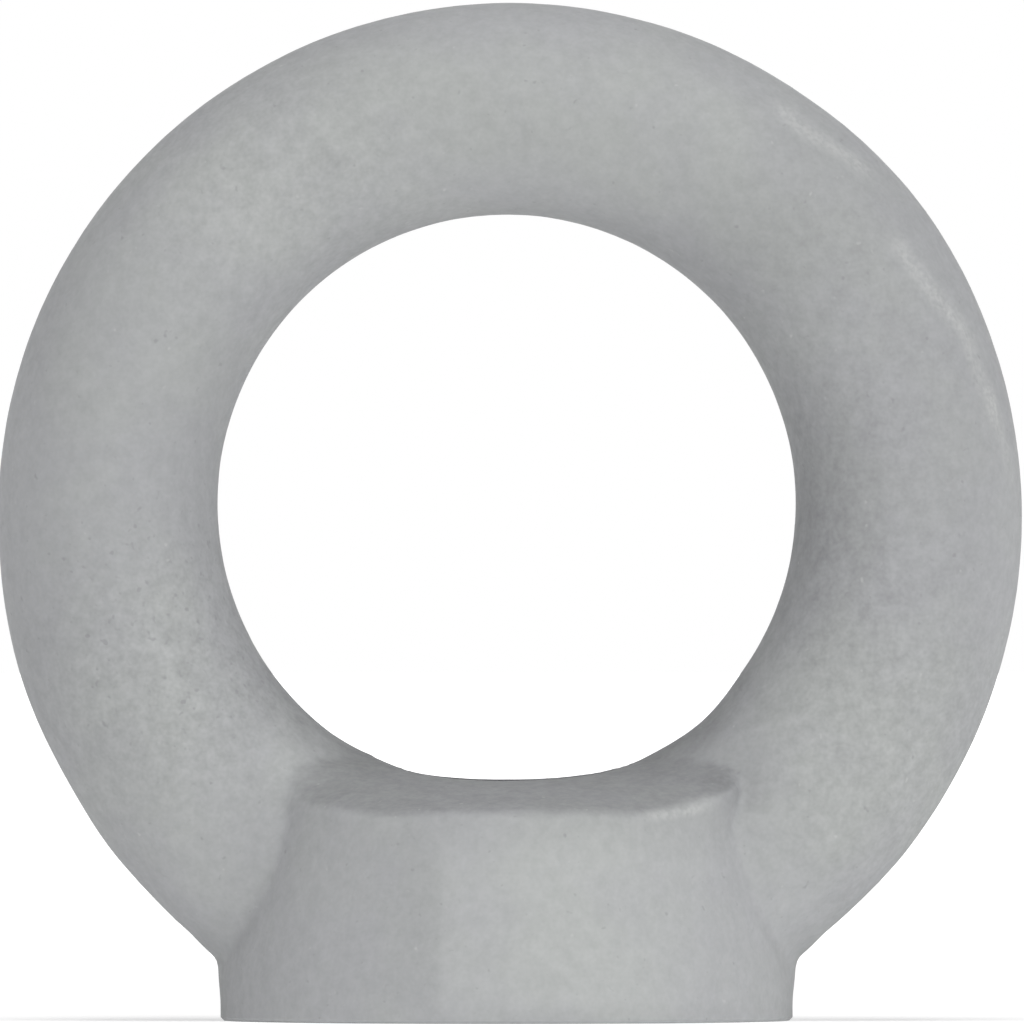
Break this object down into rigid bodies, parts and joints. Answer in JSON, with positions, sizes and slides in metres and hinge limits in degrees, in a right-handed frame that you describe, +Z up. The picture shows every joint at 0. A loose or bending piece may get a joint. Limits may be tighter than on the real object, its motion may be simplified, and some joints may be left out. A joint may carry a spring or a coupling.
{
  "type": "lifting eye nut",
  "caption": "Drop-forged lifting eye nut: a round ring on a tapered hub with a flat base, and a threaded hole that runs from the base into the eye.",
  "frame": {"origin": "centre of the flat base, on the thread's axis", "axes": "+Z up from the base to the ring's crown, +Y through the eye, +X across the ring"},
  "size_m": [0.036, 0.02, 0.0357],
  "materials": {
    "blasted_steel": "matt grey, shot-blasted forging with a fine grain and light scuffs"
  },
  "bodies": {
    "root": {"eye_nut": "blasted_steel"}
  },
  "joints": []
}
